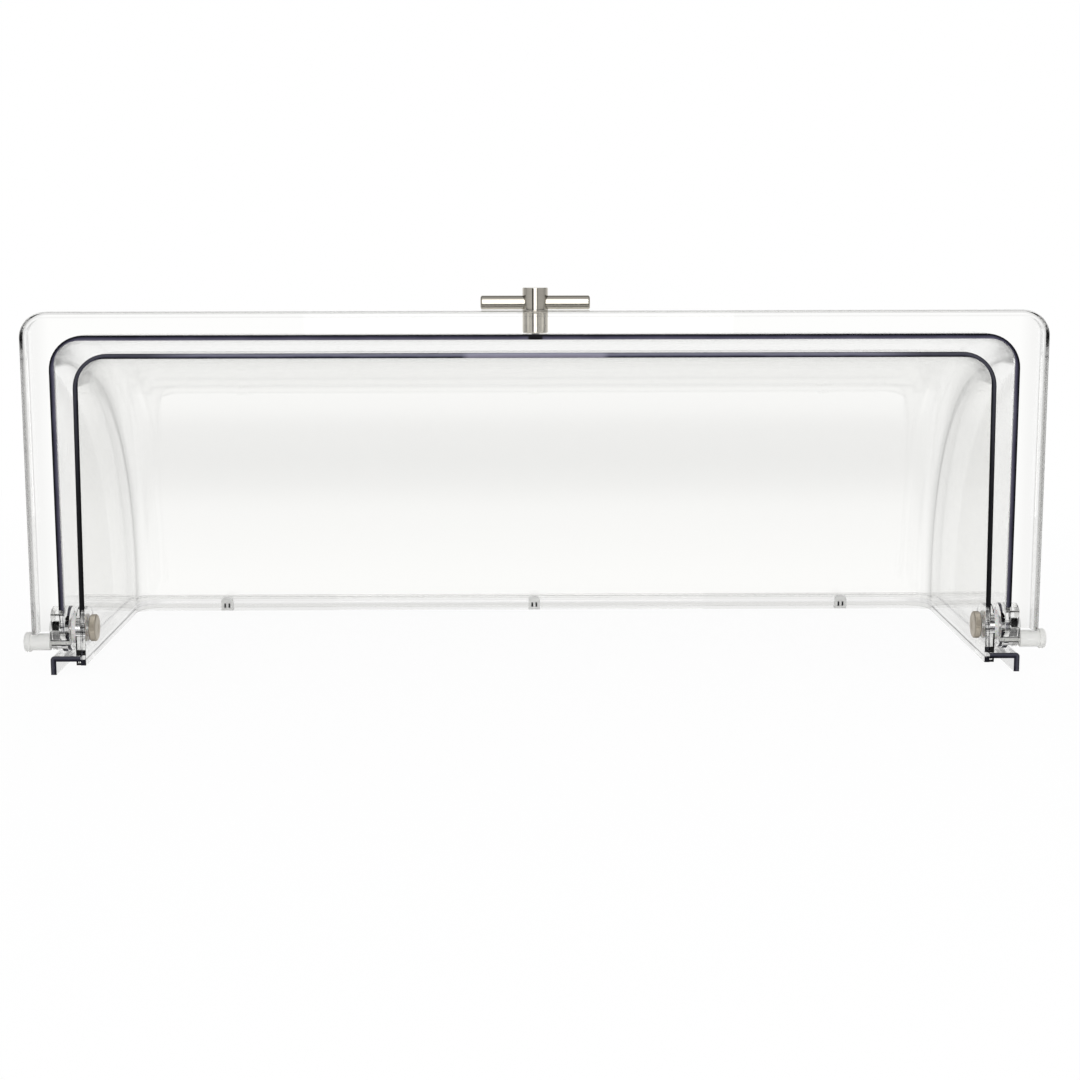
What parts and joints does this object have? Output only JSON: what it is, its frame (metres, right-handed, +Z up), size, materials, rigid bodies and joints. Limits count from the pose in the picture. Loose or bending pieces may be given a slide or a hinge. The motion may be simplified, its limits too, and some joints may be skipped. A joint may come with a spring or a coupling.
{
  "type": "roll-top tray cover",
  "caption": "Clear roll-top cover for a full-size serving tray: fixed quarter-round hood and a rotating outer lid with a steel cross handle, drawn open.",
  "frame": {"origin": "middle of the footprint's bounding box, on the surface that the hood's rim stands on", "axes": "+X to the right along the pivots, +Y to the back, +Z up; the lid is drawn rolled fully back"},
  "size_m": [0.5664, 0.1886, 0.2121],
  "materials": {
    "clear_shell": "clear moulded polycarbonate, polished faces and dark cut edges",
    "satin_steel": "satin stainless steel",
    "bright_steel": "bright steel",
    "dull_steel": "fine knurled steel, dull",
    "white_nylon": "white nylon",
    "frosted_nylon": "translucent frosted nylon"
  },
  "bodies": {
    "hood": {"rear_shell": "clear_shell", "rear_clip_1": "frosted_nylon", "rear_clip_2": "frosted_nylon", "rear_clip_3": "frosted_nylon", "left_spacer_washer": "white_nylon", "right_spacer_washer": "white_nylon"},
    "lid": {"lid_shell": "clear_shell", "handle_post": "satin_steel", "handle_bar": "satin_steel", "handle_screw": "bright_steel", "left_pivot_bolt": "bright_steel", "right_pivot_bolt": "bright_steel", "left_side_peg": "frosted_nylon", "right_side_peg": "frosted_nylon"},
    "left_nut": {"left_thumb_nut": "dull_steel"},
    "right_nut": {"right_thumb_nut": "dull_steel"}
  },
  "joints": [
    {"name": "lid_roll", "type": "hinge", "parent": "hood", "child": "lid", "pos_m": [0, -0.0759, 0.024], "axis": [1, 0, 0], "range_deg": [0, 90]},
    {"name": "left_nut_turn", "type": "hinge", "parent": "lid", "child": "left_nut", "pos_m": [-0.246, -0.0759, 0.024], "axis": [1, 0, 0], "range_deg": [0, 180]},
    {"name": "right_nut_turn", "type": "hinge", "parent": "lid", "child": "right_nut", "pos_m": [0.246, -0.0759, 0.024], "axis": [1, 0, 0], "range_deg": [0, 180]}
  ]
}
